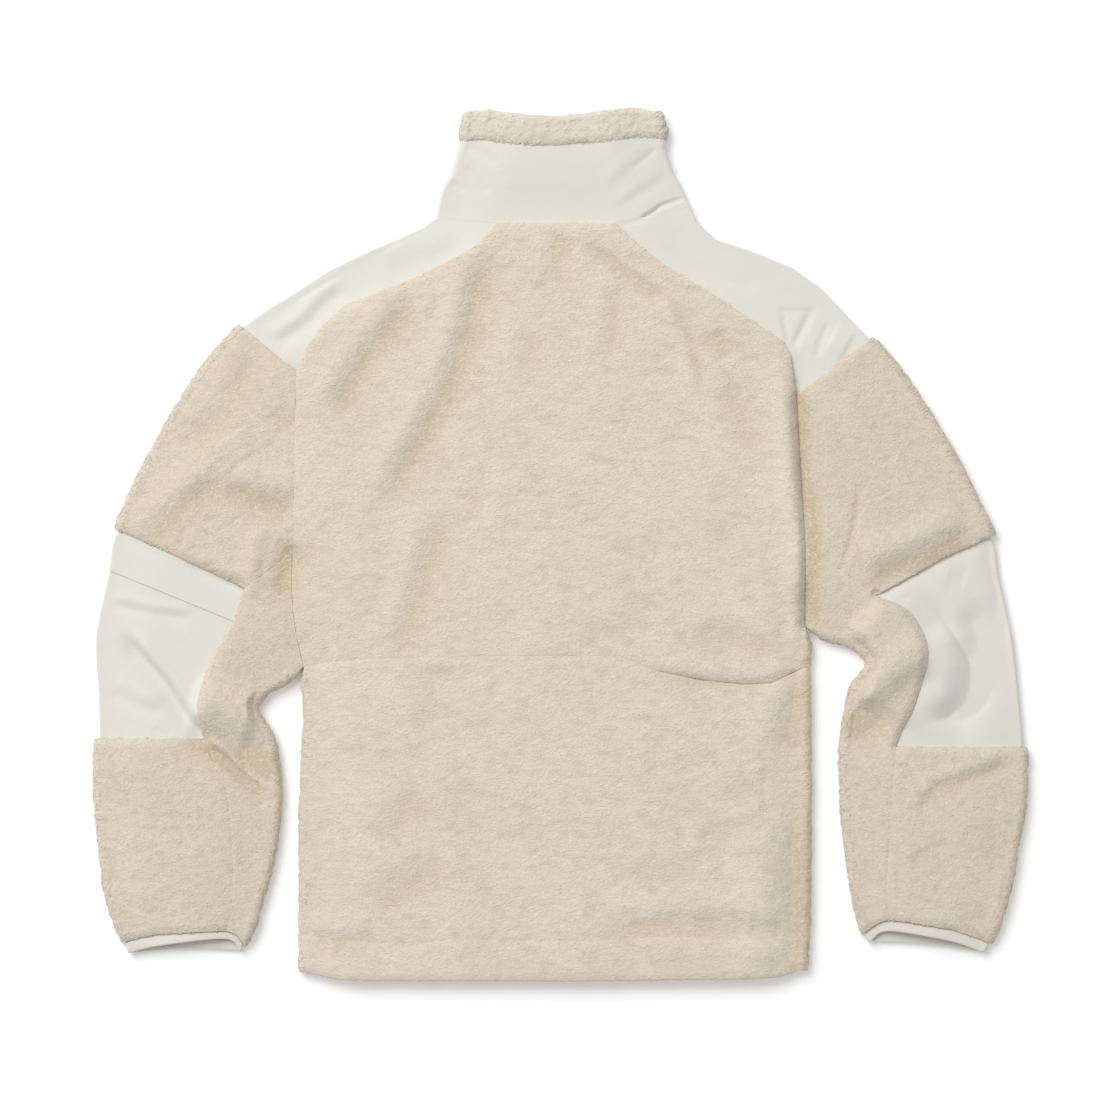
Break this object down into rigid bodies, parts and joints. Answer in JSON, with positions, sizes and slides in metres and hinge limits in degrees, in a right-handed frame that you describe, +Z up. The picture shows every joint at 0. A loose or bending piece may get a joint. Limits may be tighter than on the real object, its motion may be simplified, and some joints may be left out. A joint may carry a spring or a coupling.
{
  "type": "sherpa fleece pullover",
  "caption": "Stand-collar sherpa fleece pullover with smooth shell yokes, collar and elbow panels, laid flat with its back up.",
  "frame": {"origin": "on the surface the garment lies on, under the middle of its outline", "axes": "+Z up out of the back, +Y from the hem to the collar, +X to the wearer's right sleeve"},
  "size_m": [0.8608, 0.8024, 0.0326],
  "materials": {
    "sherpa": "cream curled sherpa pile, matt and nubby",
    "shell": "off-white smooth plain-woven shell, matt with a faint sheen",
    "binding": "cream stretch binding, fine and matt"
  },
  "bodies": {
    "root": {"back_upper": "sherpa", "back_lower": "sherpa", "front": "sherpa", "yoke_left": "shell", "yoke_right": "shell", "collar_shell": "shell", "collar_lining": "sherpa", "sleeve_left_upper": "sherpa", "sleeve_left_elbow": "shell", "sleeve_left_forearm": "sherpa", "sleeve_left_under": "sherpa", "sleeve_left_pocket_welt": "shell", "cuff_left": "binding", "sleeve_right_upper": "sherpa", "sleeve_right_elbow": "shell", "sleeve_right_forearm": "sherpa", "sleeve_right_under": "sherpa", "cuff_right": "binding"}
  },
  "joints": []
}
